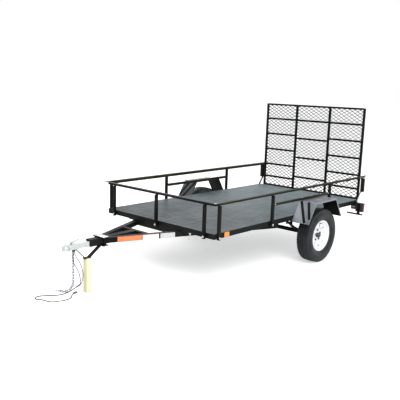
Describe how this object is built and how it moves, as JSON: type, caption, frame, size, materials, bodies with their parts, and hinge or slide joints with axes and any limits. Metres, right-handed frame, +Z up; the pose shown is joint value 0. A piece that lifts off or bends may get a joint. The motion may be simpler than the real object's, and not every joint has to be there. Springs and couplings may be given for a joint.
{
  "type": "utility trailer",
  "caption": "Single-axle open utility trailer with angle-iron side rails, an A-frame tongue with a ball coupler and a mesh ramp gate.",
  "frame": {"origin": "on the floor, in the middle of the length from the coupler's nose to the rear ends of the top rails, and midway between the wheels", "axes": "+X towards the ramp gate, +Y towards the trailer's right side, +Z up"},
  "size_m": [4.2029, 1.944, 1.6841],
  "materials": {
    "black_paint": "satin",
    "deck_paint": "satin",
    "zinc": "satin",
    "tyre_rubber": "matte",
    "rim_white": "gloss",
    "hub_grey": "satin",
    "lamp_red": "gloss",
    "lamp_amber": "gloss",
    "pale_wood": "matte",
    "cord_black": "satin",
    "plug_grey": "satin"
  },
  "bodies": {
    "trailer": {"side_rail_left": "black_paint", "side_rail_right": "black_paint", "front_rail": "black_paint", "rear_rail": "black_paint", "cross_members": "black_paint", "deck_sheet": "deck_paint", "tongue_tube_left": "black_paint", "tongue_tube_right": "black_paint", "tongue_centre_tube": "black_paint", "tongue_cross_members": "black_paint", "tongue_brackets": "black_paint", "tongue_clamp": "zinc", "tongue_stand": "black_paint", "wood_block": "pale_wood", "coupler": "zinc", "top_rail_left": "black_paint", "top_rail_right": "black_paint", "top_rail_front": "black_paint", "rail_uprights": "black_paint", "mid_rails": "black_paint", "rear_posts": "black_paint", "fender_left": "black_paint", "fender_right": "black_paint", "axle_beam": "black_paint", "leaf_springs": "black_paint", "spring_hangers": "black_paint", "gate_hinges": "black_paint", "lamp_brackets": "black_paint", "tail_lamps": "lamp_red", "marker_lamps": "lamp_amber", "safety_chain": "zinc", "harness_clip": "cord_black", "harness_leg_front": "cord_black", "harness_leg_rear": "cord_black", "harness_junction": "cord_black", "harness_trunk": "cord_black", "harness_plug": "plug_grey"},
    "wheel_left": {"tyre_left": "tyre_rubber", "rim_left": "rim_white", "hub_left": "hub_grey"},
    "wheel_right": {"tyre_right": "tyre_rubber", "rim_right": "rim_white", "hub_right": "hub_grey"},
    "gate": {"gate_frame": "black_paint", "gate_mesh": "black_paint"},
    "coupler_latch": {"coupler_lever": "zinc"}
  },
  "joints": [
    {"name": "wheel_left_spin", "type": "hinge", "parent": "trailer", "child": "wheel_left", "pos_m": [0.751, -0.872, 0.3], "axis": [0, 1, 0], "continuous": true},
    {"name": "wheel_right_spin", "type": "hinge", "parent": "trailer", "child": "wheel_right", "pos_m": [0.751, 0.872, 0.3], "axis": [0, 1, 0], "continuous": true},
    {"name": "gate_hinge", "type": "hinge", "parent": "trailer", "child": "gate", "pos_m": [1.95, 0, 0.52], "axis": [0, 1, 0], "range_deg": [0, 116]},
    {"name": "latch_hinge", "type": "hinge", "parent": "trailer", "child": "coupler_latch", "pos_m": [-1.9111, 0, 0.501], "axis": [0, -1, 0], "range_deg": [0, 60]}
  ]
}
